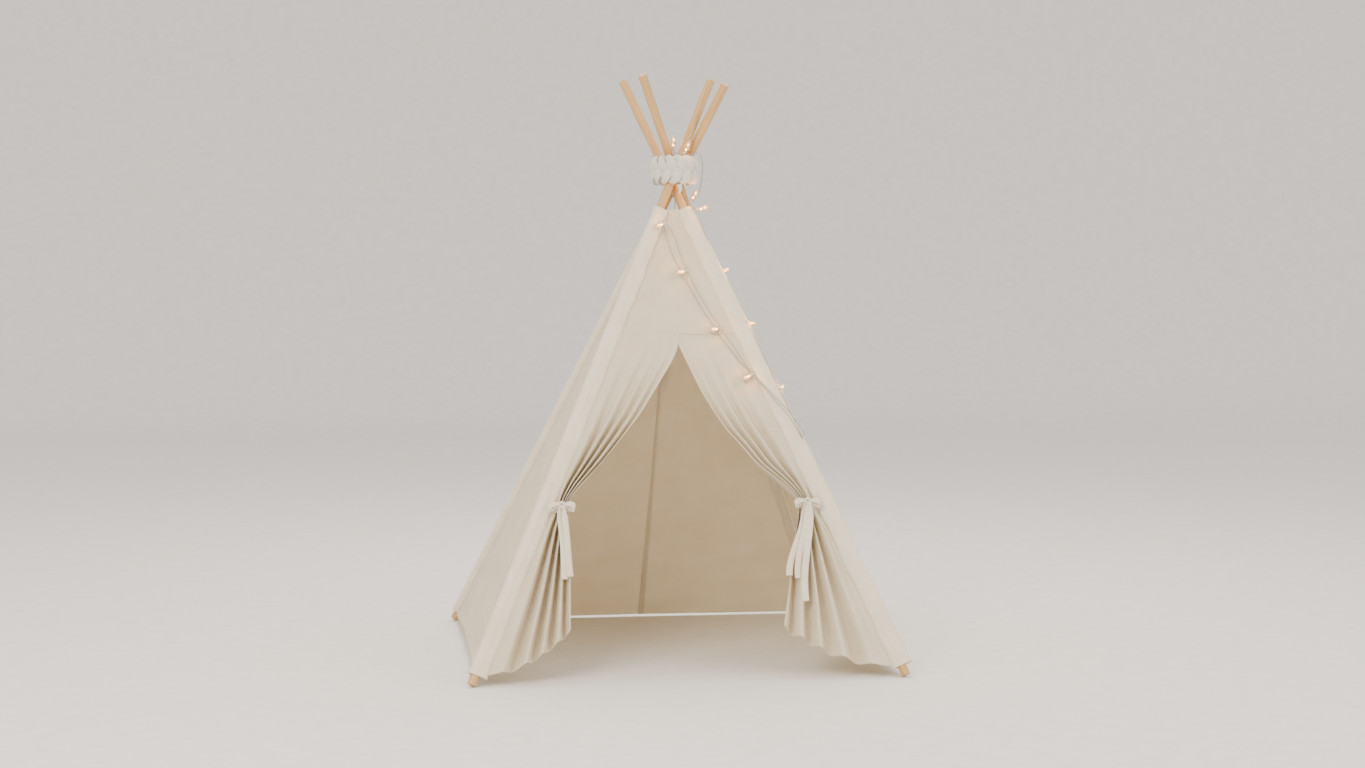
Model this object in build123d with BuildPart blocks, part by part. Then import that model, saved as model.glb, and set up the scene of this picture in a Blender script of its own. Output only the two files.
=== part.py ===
"""Children's play tent: four crossed wooden poles, a cotton cover in four sloping panels, a braided
rope collar round the crossing, tied-back door flaps and a battery light string.

Millimetres, +Z up. The origin is on the floor at the middle of the four feet, and the door faces -Y.
"""

import os
from math import acos, cos, pi, radians, sin, tan

from build123d import *

os.makedirs("parts", exist_ok=True)

# ---------------------------------------------------------------- driving dimensions
FOOTPRINT = 1224.0  # outside to outside of the feet, along X and along Y
POLE_LENGTH = 1952.0
POLE_RADIUS = 12.5
POLE_END_ROUND = 3.0
CROSSING_HEIGHT = 1425.0  # where the poles swing about when the tent is gathered up

# Corner signs, and where each pole's centre line passes at the crossing height.
POLES = {
    "front_left": ((-1, -1), (31.0, -50.0)),
    "front_right": ((1, -1), (-1.0, -11.0)),
    "back_left": ((-1, 1), (60.0, 24.0)),
    "back_right": ((1, 1), (28.0, -6.0)),
}

# Each pole comes apart in the middle, where a tube holds two turned-down ends.
JOINT_TUBE_BORE = 10.5
JOINT_TUBE_LENGTH = 110.0
TENON_RADIUS = 10.45
TENON_GAP = 1.0
JOINT_END_GAP = 0.2

SLEEVE_INNER = 12.8
SLEEVE_OUTER = 14.0
SLEEVE_BOTTOM = 30.0
COVER_TOP = 1300.0

CLOTH = 4.0  # thickness of the plain slabs that stand for the canvas
POLE_TO_PANEL = 19.0  # from a pole's centre line to the panel's side edge, level
PANEL_BOTTOM = 26.0
DOOR_SEAM = 944.0
SEAM_GAP = 1.0

COLLAR_CENTRE = (30.0, -12.0)
# Height, then half widths along X and Y, of the braid's outside and of its hole.
COLLAR_OUTSIDE = ((1374.0, 68.0, 95.0), (1400.0, 73.0, 90.0), (1430.0, 74.0, 84.0), (1454.0, 73.0, 82.0))
COLLAR_HOLE = ((1373.0, 56.0, 84.0), (1425.0, 56.5, 68.5), (1455.0, 67.0, 70.0))
ROPE_END_TOP = (33.0, -95.0, 1371.0)
ROPE_END_TIP = (33.0, -90.0, 1347.0)

TIE_HEIGHT = 465.0
BUNCH_HALF_HEIGHT = 16.0  # the flap is bunched this far above and below its tie
BUNCH_WIDTH = 40.0
BUNCH_DEPTH = 30.0
TIE_TO_POLE = 34.0  # from the pole's centre line to the bunched flap, level
RIBBON = 1.5
RIBBON_WIDTH = 20.0
BAND_WIDTH_SPARE = 8.0
BAND_DEPTH_SPARE = 12.0
BOW_THICKNESS = 6.0

WIRE = 2.4
SOCKET_RADIUS = 4.5
SOCKET_NECK_RADIUS = 3.5
SOCKET_LENGTH = 9.0
NECK_LENGTH = 3.0
LED_RADIUS = 2.5
LED_LENGTH = 7.0

# The battery box takes two AA cells side by side.
BOX_WIDTH = 36.0
BOX_LENGTH = 70.0
BOX_DEPTH = 24.0
BOX_WALL = 2.0
BOX_CORNER = 5.0
BOX_X = 36.0
BOX_HEIGHT = 800.0
CELL_RADIUS = 7.0
CELL_LENGTH = 50.0
RELIEF_LENGTH = 8.0
SWITCH_TRAVEL = 6.0


# ---------------------------------------------------------------- pole geometry
def pole_line(corner):
    """Foot centre, unit direction up the pole, and the inward horizontal direction."""
    (sx, sy), (kx, ky) = POLES[corner]
    crossing = Vector(kx, ky, CROSSING_HEIGHT)
    half = FOOTPRINT / 2
    foot = Vector(sx * half, sy * half, 0)
    for _ in range(3):
        along = (crossing - foot).normalized()
        lean = acos(along.Z)
        rise = (POLE_RADIUS - POLE_END_ROUND) * sin(lean) + POLE_END_ROUND * (1 - cos(lean))
        reach_x = half - POLE_RADIUS * (1 - along.X**2) ** 0.5
        reach_y = half - POLE_RADIUS * (1 - along.Y**2) ** 0.5
        foot = Vector(sx * reach_x, sy * reach_y, rise)
    along = (crossing - foot).normalized()
    inward = Vector(along.X, along.Y, 0).normalized()
    return foot, along, inward


def pole_at(corner, height):
    """The point of a pole's centre line at a height above the floor."""
    foot, along, _ = pole_line(corner)
    return foot + along * ((height - foot.Z) / along.Z)


def pole_plane(corner, distance):
    """A plane square to a pole, this far up it from its foot."""
    foot, along, inward = pole_line(corner)
    return Plane(origin=foot + along * distance, x_dir=Vector(0, 0, 1).cross(inward), z_dir=along)


def save(piece, label):
    """Names a finished piece and writes it."""
    piece.label = label
    export_step(piece, f"parts/{label}.step")


# ---------------------------------------------------------------- poles and their sleeves
half_length = POLE_LENGTH / 2
shoulder_low = half_length - JOINT_TUBE_LENGTH / 2 - JOINT_END_GAP
shoulder_high = half_length + JOINT_TUBE_LENGTH / 2 + JOINT_END_GAP

for corner in POLES:
    with BuildPart() as lower:
        with BuildSketch(pole_plane(corner, 0)):
            Circle(POLE_RADIUS)
        extrude(amount=shoulder_low)
        fillet(lower.edges().filter_by(GeomType.CIRCLE).sort_by(Axis.Z)[0], POLE_END_ROUND)
        with BuildSketch(pole_plane(corner, shoulder_low)):
            Circle(TENON_RADIUS)
        extrude(amount=half_length - TENON_GAP / 2 - shoulder_low)
    save(lower.part, f"pole_{corner}_lower")

    with BuildPart() as upper:
        with BuildSketch(pole_plane(corner, shoulder_high)):
            Circle(POLE_RADIUS)
        extrude(amount=POLE_LENGTH - shoulder_high)
        fillet(upper.edges().filter_by(GeomType.CIRCLE).sort_by(Axis.Z)[-1], POLE_END_ROUND)
        with BuildSketch(pole_plane(corner, half_length + TENON_GAP / 2)):
            Circle(TENON_RADIUS)
        extrude(amount=shoulder_high - half_length - TENON_GAP / 2)
    save(upper.part, f"pole_{corner}_upper")

    with BuildPart() as joint_tube:
        with BuildSketch(pole_plane(corner, half_length - JOINT_TUBE_LENGTH / 2)):
            Circle(POLE_RADIUS)
            Circle(JOINT_TUBE_BORE, mode=Mode.SUBTRACT)
        extrude(amount=JOINT_TUBE_LENGTH)
    save(joint_tube.part, f"pole_{corner}_joint_tube")

    foot, along, inward = pole_line(corner)
    sleeve_start = (SLEEVE_BOTTOM - foot.Z) / along.Z
    sleeve_end = (COVER_TOP - foot.Z) / along.Z
    with BuildPart() as sleeve:
        with BuildSketch(pole_plane(corner, sleeve_start)):
            Circle(SLEEVE_OUTER)
            Circle(SLEEVE_INNER, mode=Mode.SUBTRACT)
        extrude(amount=sleeve_end - sleeve_start)
    save(sleeve.part, f"sleeve_{corner}")

# ---------------------------------------------------------------- braided rope collar
with BuildPart() as collar:
    for height, half_x, half_y in COLLAR_OUTSIDE:
        with BuildSketch(Plane((*COLLAR_CENTRE, height))):
            Ellipse(half_x, half_y)
    loft()
    for height, half_x, half_y in COLLAR_HOLE:
        with BuildSketch(Plane((*COLLAR_CENTRE, height))):
            Ellipse(half_x, half_y)
    loft(mode=Mode.SUBTRACT)
save(collar.part, "rope_collar")


# ---------------------------------------------------------------- cover panels
def wall_section(corner_a, corner_b, height, share_a=0.0, share_b=1.0):
    """Plane and width of the slab between two poles at a height, or of a share of it."""
    start = pole_at(corner_a, height)
    end = pole_at(corner_b, height)
    run = (end - start).normalized()
    left = start + run * POLE_TO_PANEL
    span = (end - run * POLE_TO_PANEL) - left
    middle = left + span * ((share_a + share_b) / 2)
    plane = Plane(origin=middle, x_dir=run, z_dir=(0, 0, 1))
    return plane, span.length * (share_b - share_a)


WALLS = {
    # name: the two poles, the share of the width, and the bottom and top heights
    "panel_left": ("back_left", "front_left", 0.0, 1.0, PANEL_BOTTOM, COVER_TOP),
    "panel_right": ("front_right", "back_right", 0.0, 1.0, PANEL_BOTTOM, COVER_TOP),
    "panel_back_left_half": ("back_left", "back_right", 0.0, 0.497, PANEL_BOTTOM, COVER_TOP),
    "panel_back_right_half": ("back_left", "back_right", 0.503, 1.0, PANEL_BOTTOM, COVER_TOP),
    "panel_front_top": ("front_left", "front_right", 0.0, 1.0, DOOR_SEAM, COVER_TOP),
}

for name, (pole_a, pole_b, share_a, share_b, bottom, top) in WALLS.items():
    with BuildPart() as wall:
        for height in (bottom, top):
            plane, width = wall_section(pole_a, pole_b, height, share_a, share_b)
            with BuildSketch(plane):
                Rectangle(width, CLOTH)
        loft(ruled=True)
    save(wall.part, name)


# ---------------------------------------------------------------- door flaps and their ties
def front_y(x, height):
    """Y of the front wall's middle surface, which runs straight from one front pole to the other."""
    left = pole_at("front_left", height)
    right = pole_at("front_right", height)
    return left.Y + (right.Y - left.Y) * (x - left.X) / (right.X - left.X)


# Height, X of the flap's free edge, and the thickness of the folded cloth there. The flap hangs
# from the door seam, is pulled into a bunch by its tie, and spreads out again down to its hem.
FLAPS = {
    "front_left": (
        ((32, -520, 5), (60, -440, 6), (86, -372, 9), (135, -327, 14), (263, -323, 20), (400, -322, 27)),
        ((577, -226, 18), (714, -107, 10), (861, -9, 6), (DOOR_SEAM - SEAM_GAP, 6, 4)),
    ),
    "front_right": (
        ((32, 520, 5), (66, 372, 7), (100, 314, 10), (137, 264, 14), (261, 290, 20), (400, 324, 27)),
        ((573, 216, 18), (670, 134, 12), (776, 69, 8), (900, 16, 5), (DOOR_SEAM - SEAM_GAP, 10, 4)),
    ),
}
FLAP_TO_POLE = 24.0
WALL_UP = (pole_at("front_left", COVER_TOP) - pole_at("front_left", PANEL_BOTTOM)).normalized()
FRONT_OUT = Vector(0, -WALL_UP.Z, WALL_UP.Y).normalized()

# Each tail of a bow: where it leaves the knot, where it ends, and how far down it hangs.
TAILS = {"front_left": ((-6, 4, 212), (5, 18, 205)), "front_right": ((-8, -62, 214), (-2, -40, 222), (5, -26, 288))}

for corner, (low, high) in FLAPS.items():
    side = POLES[corner][0][0]
    name = "left" if side < 0 else "right"
    bunch_outer = pole_at(corner, TIE_HEIGHT).X - side * TIE_TO_POLE
    bunch_inner = bunch_outer - side * BUNCH_WIDTH
    sections = [(h, pole_at(corner, h).X - side * FLAP_TO_POLE, edge, thick) for h, edge, thick in low]
    for height in (TIE_HEIGHT - BUNCH_HALF_HEIGHT, TIE_HEIGHT + BUNCH_HALF_HEIGHT):
        sections.append((height, bunch_outer, bunch_inner, BUNCH_DEPTH))
    sections += [(h, pole_at(corner, h).X - side * FLAP_TO_POLE, edge, thick) for h, edge, thick in high]
    with BuildPart() as flap:
        for height, pole_edge, free_edge, thickness in sections:
            middle = (pole_edge + free_edge) / 2
            across = pole_at("front_right", height) - pole_at("front_left", height)
            centre = Vector(middle, front_y(middle, height), height)
            with BuildSketch(Plane(origin=centre, x_dir=across, z_dir=(0, 0, 1))):
                Rectangle(abs(pole_edge - free_edge), thickness)
        loft(ruled=True)
    save(flap.part, f"door_flap_{name}")

    # The tie is a cotton ribbon: a band round the bunched flap, and a bow with tails in front.
    bunch_x = (bunch_outer + bunch_inner) / 2
    band_centre = Vector(bunch_x, front_y(bunch_x, TIE_HEIGHT), TIE_HEIGHT)
    band_width = BUNCH_WIDTH + BAND_WIDTH_SPARE
    band_depth = BUNCH_DEPTH + BAND_DEPTH_SPARE
    with BuildPart() as band:
        with BuildSketch(Plane(band_centre - Vector(0, 0, RIBBON_WIDTH / 2))):
            RectangleRounded(band_width + 2 * RIBBON, band_depth + 2 * RIBBON, 9)
            RectangleRounded(band_width, band_depth, 9 - RIBBON, mode=Mode.SUBTRACT)
        extrude(amount=RIBBON_WIDTH)
    save(band.part, f"tie_{name}_band")

    bow_centre = band_centre + FRONT_OUT * (band_depth / 2 + RIBBON + 4)
    with BuildPart() as bow:
        with BuildSketch(Plane(origin=bow_centre, x_dir=(1, 0, 0), z_dir=FRONT_OUT)):
            Circle(9)
            with Locations((-22, -6), (22, -6)):
                Ellipse(18, 9)
            for start, end, drop in TAILS[corner]:
                with BuildLine():
                    Polyline((start - 5, 0), (end - 6, -drop), (end + 6, -drop), (start + 5, 0), close=True)
                make_face()
        extrude(amount=BOW_THICKNESS)
    save(bow.part, f"tie_{name}_bow")

# ---------------------------------------------------------------- battery box, behind the back wall
back_up = ((pole_at("back_left", COVER_TOP) + pole_at("back_right", COVER_TOP))
           - (pole_at("back_left", PANEL_BOTTOM) + pole_at("back_right", PANEL_BOTTOM)))
back_up = Vector(0, back_up.Y, back_up.Z).normalized()
back_out = Vector(0, back_up.Z, -back_up.Y)


def back_y(x, height):
    """Y of the back wall's middle surface, straight from one back pole to the other."""
    left = pole_at("back_left", height)
    right = pole_at("back_right", height)
    return left.Y + (right.Y - left.Y) * (x - left.X) / (right.X - left.X)


box_centre = Vector(BOX_X, back_y(BOX_X, BOX_HEIGHT), BOX_HEIGHT) + back_out * (BOX_DEPTH / 2 + CLOTH)


def box_plane(depth):
    """A plane in the battery box, this far outwards from the box's middle; its +Y points up the wall."""
    return Plane(origin=box_centre + back_out * depth, x_dir=(-1, 0, 0), z_dir=back_out)


lid_depth = BOX_DEPTH / 2 - BOX_WALL
with BuildPart() as box:
    with BuildSketch(box_plane(-BOX_DEPTH / 2)):
        RectangleRounded(BOX_WIDTH, BOX_LENGTH, BOX_CORNER)
    extrude(amount=BOX_DEPTH - BOX_WALL)
    with BuildSketch(box_plane(-BOX_DEPTH / 2 + BOX_WALL)):
        RectangleRounded(BOX_WIDTH - 2 * BOX_WALL, BOX_LENGTH - 2 * BOX_WALL, BOX_CORNER - BOX_WALL)
    extrude(amount=BOX_DEPTH, mode=Mode.SUBTRACT)
    with BuildSketch(Plane(origin=box_centre + back_up * (BOX_LENGTH / 2 - BOX_WALL), z_dir=back_up)):
        Circle(WIRE / 2 + BOX_WALL)
    extrude(amount=RELIEF_LENGTH + BOX_WALL)
save(box.part, "battery_box")

with BuildPart() as lid:
    with BuildSketch(box_plane(lid_depth)):
        RectangleRounded(BOX_WIDTH, BOX_LENGTH, BOX_CORNER)
        with Locations((0, 25)):
            Rectangle(SWITCH_TRAVEL + 6, 5, mode=Mode.SUBTRACT)
    extrude(amount=BOX_WALL)
save(lid.part, "battery_lid")

with BuildPart() as cells:
    for across in (-8, 8):
        cell_foot = box_centre + Vector(across, 0, 0) - back_up * (CELL_LENGTH / 2 + 6) - back_out * 2.8
        with BuildSketch(Plane(origin=cell_foot, z_dir=back_up)):
            Circle(CELL_RADIUS)
        extrude(amount=CELL_LENGTH)
save(cells.part, "battery_cells")

with BuildPart() as switch:
    for depth, width, height, thickness in (
        (lid_depth - 2.2, 8, 7, 1.5), (lid_depth - 1, 5, 4.4, BOX_WALL + 2), (BOX_DEPTH / 2 + 0.4, 7, 8, 2),
    ):
        with BuildSketch(box_plane(depth)):
            with Locations((SWITCH_TRAVEL / 2, 25)):
                Rectangle(width, height)
        extrude(amount=thickness)
save(switch.part, "battery_switch")

# ---------------------------------------------------------------- rope end below the collar
rope_end_run = Vector(*ROPE_END_TIP) - Vector(*ROPE_END_TOP)
with BuildPart() as rope_end:
    for share, radius in ((0.0, 8.0), (1.0, 2.5)):
        with BuildSketch(Plane(origin=Vector(*ROPE_END_TOP) + rope_end_run * share, z_dir=rope_end_run)):
            Circle(radius)
    loft()
save(rope_end.part, "rope_end")

# ---------------------------------------------------------------- light string
# Points that the flexible wire follows, stretch by stretch, from the battery box to its last bulb.
WIRE_ROUTES = {
    "light_wire_lead": (
        (36, 267.6, 844), (36, 254, 877), (42, 228, 928), (51, 204, 980), (46, 181, 1032), (51, 159, 1084),
        (58, 138, 1134), (58, 118, 1182), (52, 101, 1230), (47, 92, 1280), (44, 89, 1320), (46, 93, 1345),
    ),
    "light_wire_crown": (
        (46, 93, 1347), (49, 94, 1388), (46, 88, 1430), (42, 66, 1466), (34, 34, 1482), (26, 0, 1474),
        (28, -34, 1468), (40, -64, 1463), (61, -79, 1461), (82, -62, 1465), (92, -32, 1468),
        (110, -6, 1464), (119, 22, 1446), (121, 38, 1414), (116, 36, 1376), (106, 20, 1346), (94, -6, 1334),
        (82, -34, 1326), (64, -58, 1322), (76, -76, 1308), (93, -84, 1292),
    ),
    "light_wire_right": (
        (94, -85, 1290), (102, -96, 1246), (121, -113, 1194), (140, -134, 1144), (163, -154, 1096),
        (184, -176, 1047), (204, -196, 998), (227, -217, 951), (248, -240, 904), (268, -259, 856),
        (288, -280, 808), (307, -297, 762), (325, -315, 720), (341, -330, 680), (354, -346, 648),
    ),
}

# The two conductors down the front: X, height, and how far the wire stands in front of the wall.
FRONT_ROUTES = {
    "light_wire_front": (
        (352, 646, 20), (341, 664, 30), (326, 694, 32), (305, 724, 30), (284, 748, 26), (266, 770, 20),
        (236, 806, 11), (207, 845, 10), (187, 881, 10), (165, 915, 10), (144, 944, 10), (128, 971, 11),
        (108, 1000, 10), (88, 1038, 10), (70, 1069, 10), (55, 1105, 11), (38, 1140, 10), (25, 1186, 10),
        (13, 1228, 11), (-4, 1256, 19), (-22, 1264, 28),
    ),
    "light_wire_return": (
        (360, 654, 22), (347, 676, 30), (328, 708, 30), (304, 738, 28), (282, 762, 24), (256, 790, 14),
        (225, 822, 6.5), (190, 858, 6.5), (168, 889, 6.5), (146, 917, 6.5), (127, 946, 6), (110, 974, 6),
        (91, 1002, 6), (70, 1042, 6), (54, 1070, 6), (37, 1106, 6.5), (18, 1140, 6), (0, 1186, 6),
        (-12, 1226, 6.5), (-14, 1252, 9),
    ),
}
for name, route in FRONT_ROUTES.items():
    WIRE_ROUTES[name] = [(x, front_y(x, height) - gap, height) for x, height, gap in route]

# Where each bulb grows from its wire: the number of the run, counted from its stretch's start,
# and the way the bulb points.
BULBS = {
    "crown": ((4, (0.0, -0.2, 1.0)), (7, (0.4, -0.2, 0.9)), (17, (0.5, -0.3, 0.8)), (19, (1.0, -0.1, 0.15))),
    "right": ((3, (0.7, 0.6, 0.1)), (6, (0.8, 0.5, -0.3)), (10, (0.5, 0.85, 0.1))),
    "front": ((6, (-0.8, -0.5, -0.35)), (10, (-0.85, -0.48, -0.2)), (15, (-0.8, -0.5, -0.2)),
              (19, (-0.75, -0.6, -0.3))),
}


def corner_radii(points):
    """The largest arc that each corner of a route takes: 0.45 of its shorter run over tan(half turn)."""
    radii = []
    for before, here, after in zip(points, points[1:], points[2:]):
        shorter = min((here - before).length, (after - here).length)
        turn = radians((here - before).get_angle(after - here))
        radii.append(0.45 * shorter / tan(turn / 2))
    return radii


for name, route in WIRE_ROUTES.items():
    points = [Vector(*p) for p in route]
    radii = corner_radii(points)
    with BuildPart() as wire:
        with BuildLine() as path:
            FilletPolyline(*points, radius=radii)
        with BuildSketch(Plane(origin=points[0], z_dir=points[1] - points[0])):
            Circle(WIRE / 2)
        sweep()
    save(wire.part, name)
    length = path.wire().length
    ratio = wire.part.volume / (pi * (WIRE / 2) ** 2 * length)
    print(f"{name}: length {length:.0f}, radii {min(radii):.0f} to {max(radii):.0f}, volume ratio {ratio:.3f}")

# One bulb, standing on the wire along +Z: a moulded socket, the diode, and a clear pointed cover.
cover_start = SOCKET_LENGTH
cover_outside = ((SOCKET_RADIUS, cover_start), (8.3, 19.0), (8.8, 27.0), (5.4, 38.0), (0.0, 43.0))
cover_inside = ((SOCKET_NECK_RADIUS + 0.1, cover_start), (7.3, 19.5), (7.8, 27.0), (4.4, 37.0), (0.0, 41.4))
with BuildPart() as socket:
    with BuildSketch(Plane.XY):
        Circle(SOCKET_RADIUS)
    extrude(amount=SOCKET_LENGTH)
    with BuildSketch(Plane.XY.offset(SOCKET_LENGTH)):
        Circle(SOCKET_NECK_RADIUS)
    extrude(amount=NECK_LENGTH)
with BuildPart() as led:
    with BuildSketch(Plane.XY.offset(SOCKET_LENGTH + NECK_LENGTH)):
        Circle(LED_RADIUS)
    extrude(amount=LED_LENGTH)
    fillet(led.edges().sort_by(Axis.Z)[-1], LED_RADIUS * 0.8)
with BuildPart() as cover:
    with BuildSketch(Plane.XZ):
        with BuildLine():
            Spline(*cover_outside, tangents=((0.35, 1), (-1, 0)))
            Spline(*cover_inside, tangents=((0.35, 1), (-1, 0)))
            Line(cover_outside[0], cover_inside[0])
            Line(cover_outside[-1], cover_inside[-1])
        make_face()
    revolve(axis=Axis.Z)
BULB_PARTS = {"sockets": socket.part, "leds": led.part, "covers": cover.part}

for stretch, spots in BULBS.items():
    route = [Vector(*p) for p in WIRE_ROUTES[f"light_wire_{stretch}"]]
    places = [
        Plane(origin=(route[run] + route[run + 1]) / 2, z_dir=Vector(*way)).location for run, way in spots
    ]
    for piece, shape in BULB_PARTS.items():
        with BuildPart() as group:
            with Locations(*places):
                add(shape)
        save(group.part, f"light_{piece}_{stretch}")
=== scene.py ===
"""Looks of a children's play tent: four crossed poles, a cotton cover, a plaited rope collar, tied-back
door flaps and a battery light string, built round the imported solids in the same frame, in metres."""

import logging
import math
from collections.abc import Callable, Iterable, Sequence
from dataclasses import dataclass
from enum import Enum

import bpy
import numpy as np
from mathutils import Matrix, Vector


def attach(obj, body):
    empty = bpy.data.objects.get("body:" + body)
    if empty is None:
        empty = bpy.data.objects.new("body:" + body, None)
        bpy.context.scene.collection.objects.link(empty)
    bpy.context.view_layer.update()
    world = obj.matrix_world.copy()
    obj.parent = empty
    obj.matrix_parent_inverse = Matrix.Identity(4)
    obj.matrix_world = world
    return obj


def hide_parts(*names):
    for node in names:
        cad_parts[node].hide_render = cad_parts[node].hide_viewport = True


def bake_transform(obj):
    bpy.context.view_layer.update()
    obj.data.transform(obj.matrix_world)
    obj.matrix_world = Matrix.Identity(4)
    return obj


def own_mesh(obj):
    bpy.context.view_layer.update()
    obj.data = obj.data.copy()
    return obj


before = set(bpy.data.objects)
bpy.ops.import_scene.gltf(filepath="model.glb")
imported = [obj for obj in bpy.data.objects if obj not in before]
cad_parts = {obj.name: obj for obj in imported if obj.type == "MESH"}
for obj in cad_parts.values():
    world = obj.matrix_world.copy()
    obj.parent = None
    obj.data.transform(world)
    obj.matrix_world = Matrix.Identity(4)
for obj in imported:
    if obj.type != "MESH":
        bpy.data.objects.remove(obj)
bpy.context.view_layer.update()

log = logging.getLogger("tent")

MM = 0.001
SEED = 41

# The same driving sizes as the solids.
FOOTPRINT = 1.224
POLE_RADIUS = 0.0125
POLE_END_ROUND = 0.003
CROSSING_HEIGHT = 1.425
TIE_HEIGHT = 0.465
WIRE_DIAMETER = 0.0024

# One more cloth thickness where a hem is turned, and how far its step takes to fade.
HEM_STEP = 0.0012
HEM_FADE = 0.0025


# ------------------------------------------------------------------ poles and walls
class Corner(Enum):
    """The four poles: corner signs along X and Y, and where the pole passes the crossing height."""

    FRONT_LEFT = ("front_left", -1, -1, 0.031, -0.050)
    FRONT_RIGHT = ("front_right", 1, -1, -0.001, -0.011)
    BACK_LEFT = ("back_left", -1, 1, 0.060, 0.024)
    BACK_RIGHT = ("back_right", 1, 1, 0.028, -0.006)

    def line(self) -> tuple[np.ndarray, np.ndarray]:
        """The pole's centre line.

        Returns:
            The centre of the foot, and the unit direction up the pole.
        """
        _, sx, sy, kx, ky = self.value
        half = FOOTPRINT / 2
        crossing = np.array([kx, ky, CROSSING_HEIGHT])
        foot = np.array([sx * half, sy * half, 0.0])
        for _ in range(3):
            along = (crossing - foot) / np.linalg.norm(crossing - foot)
            lean = math.acos(along[2])
            rise = (POLE_RADIUS - POLE_END_ROUND) * math.sin(lean) + POLE_END_ROUND * (1 - along[2])
            reach = half - POLE_RADIUS * np.sqrt(1 - along[:2] ** 2)
            foot = np.array([sx * reach[0], sy * reach[1], rise])
        along = (crossing - foot) / np.linalg.norm(crossing - foot)
        return foot, along

    def at(self, height: float | np.ndarray) -> np.ndarray:
        """Points of the centre line.

        Args:
            height: one height above the floor, or an array of them.

        Returns:
            A point, or an array of points with one more dimension than height.
        """
        foot, along = self.line()
        rise = (np.asarray(height, float) - foot[2]) / along[2]
        return foot + rise[..., None] * along


def unit(vector: np.ndarray) -> np.ndarray:
    """Vectors divided by their length.

    Args:
        vector: an array whose last dimension holds X, Y and Z.

    Returns:
        The same array, each vector of length 1.
    """
    return vector / np.linalg.norm(vector, axis=-1, keepdims=True)


def smooth(x: np.ndarray) -> np.ndarray:
    """The S-curve 3x squared minus 2x cubed, with x held between 0 and 1.

    Args:
        x: any numbers.

    Returns:
        Numbers from 0 to 1.
    """
    x = np.clip(x, 0, 1)
    return x * x * (3 - 2 * x)


def lattice_noise(u: np.ndarray, v: np.ndarray, cells: tuple[int, int], seed: int) -> np.ndarray:
    """Smooth random height: random values on a lattice, joined by S-curves along u and v.

    Args:
        u: first coordinate, 0 to 1.
        v: second coordinate, 0 to 1.
        cells: lattice cells along u and along v.
        seed: picks the random values.

    Returns:
        Heights from -1 to 1, shaped like u.
    """
    values = np.random.default_rng(SEED + seed).uniform(-1, 1, (cells[0] + 2, cells[1] + 2))
    x = np.clip(u, 0, 1) * cells[0]
    y = np.clip(v, 0, 1) * cells[1]
    i, j = np.floor(x).astype(int), np.floor(y).astype(int)
    fx, fy = smooth(x - i), smooth(y - j)
    low = values[i, j] * (1 - fx) + values[i + 1, j] * fx
    high = values[i, j + 1] * (1 - fx) + values[i + 1, j + 1] * fx
    return low * (1 - fy) + high * fy


def cloth_wrinkles(u: np.ndarray, v: np.ndarray, seed: int) -> np.ndarray:
    """Creases of slack canvas: broad billows, plus narrow ridges where a second noise crosses zero.

    Args:
        u: share of the width.
        v: share of the height.
        seed: picks the pattern.

    Returns:
        Heights of roughly -1 to 1.
    """
    broad = lattice_noise(u, v, (3, 4), seed) * 0.7 + lattice_noise(u, v, (6, 9), seed + 1) * 0.3
    tilted = np.clip(u * 0.8 + v * 0.2, 0, 1)
    ridges = 1 - np.abs(lattice_noise(tilted, v, (7, 5), seed + 2)) * 3
    fine = 1 - np.abs(lattice_noise(u, np.clip(v * 0.7 + u * 0.3, 0, 1), (11, 8), seed + 3)) * 3
    return broad + 0.4 * np.clip(ridges, 0, 1) ** 2 + 0.22 * np.clip(fine, 0, 1) ** 2


# ------------------------------------------------------------------ meshes
def grid_faces(rows: int, cols: int, wrap_cols: bool, wrap_rows: bool) -> np.ndarray:
    """Quads between neighbouring points of a grid whose points are numbered row by row.

    Args:
        rows: number of rows.
        cols: number of points in a row.
        wrap_cols: whether the last point of a row joins the first.
        wrap_rows: whether the last row joins the first.

    Returns:
        One row of four point numbers for each quad.
    """
    r, c = np.meshgrid(
        np.arange(rows if wrap_rows else rows - 1), np.arange(cols if wrap_cols else cols - 1), indexing="ij"
    )
    r, c = r.ravel(), c.ravel()
    below, right = (r + 1) % rows, (c + 1) % cols
    return np.stack([r * cols + c, r * cols + right, below * cols + right, below * cols + c], 1)


def signed_volume(points: np.ndarray, faces: np.ndarray) -> float:
    """Six times the volume that quads enclose, positive when they face outwards.

    Args:
        points: the points.
        faces: quads of point numbers.

    Returns:
        The volume; for an open sheet it only tells which way most of it faces.
    """
    a, b, c, d = (points[faces[:, k]] - points.mean(0) for k in range(4))
    return float(np.sum(a * np.cross(b, c)) + np.sum(a * np.cross(c, d)))


def steps_along(points: np.ndarray, axis: int, wrap: bool) -> np.ndarray:
    """Distance run along one axis of a grid, averaged over the other.

    Args:
        points: rows by columns by 3.
        axis: 0 along the rows' numbers, 1 along the columns' numbers.
        wrap: whether the last point joins the first, which adds a last step.

    Returns:
        The distance at each row or column, starting at 0, with one more entry than there are points.
    """
    following = np.roll(points, -1, axis)
    length = np.linalg.norm(following - points, axis=2).mean(1 - axis)
    if not wrap:
        length[-1] = length[-2] if len(length) > 1 else 0
    return np.concatenate([[0], np.cumsum(length)])


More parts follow.
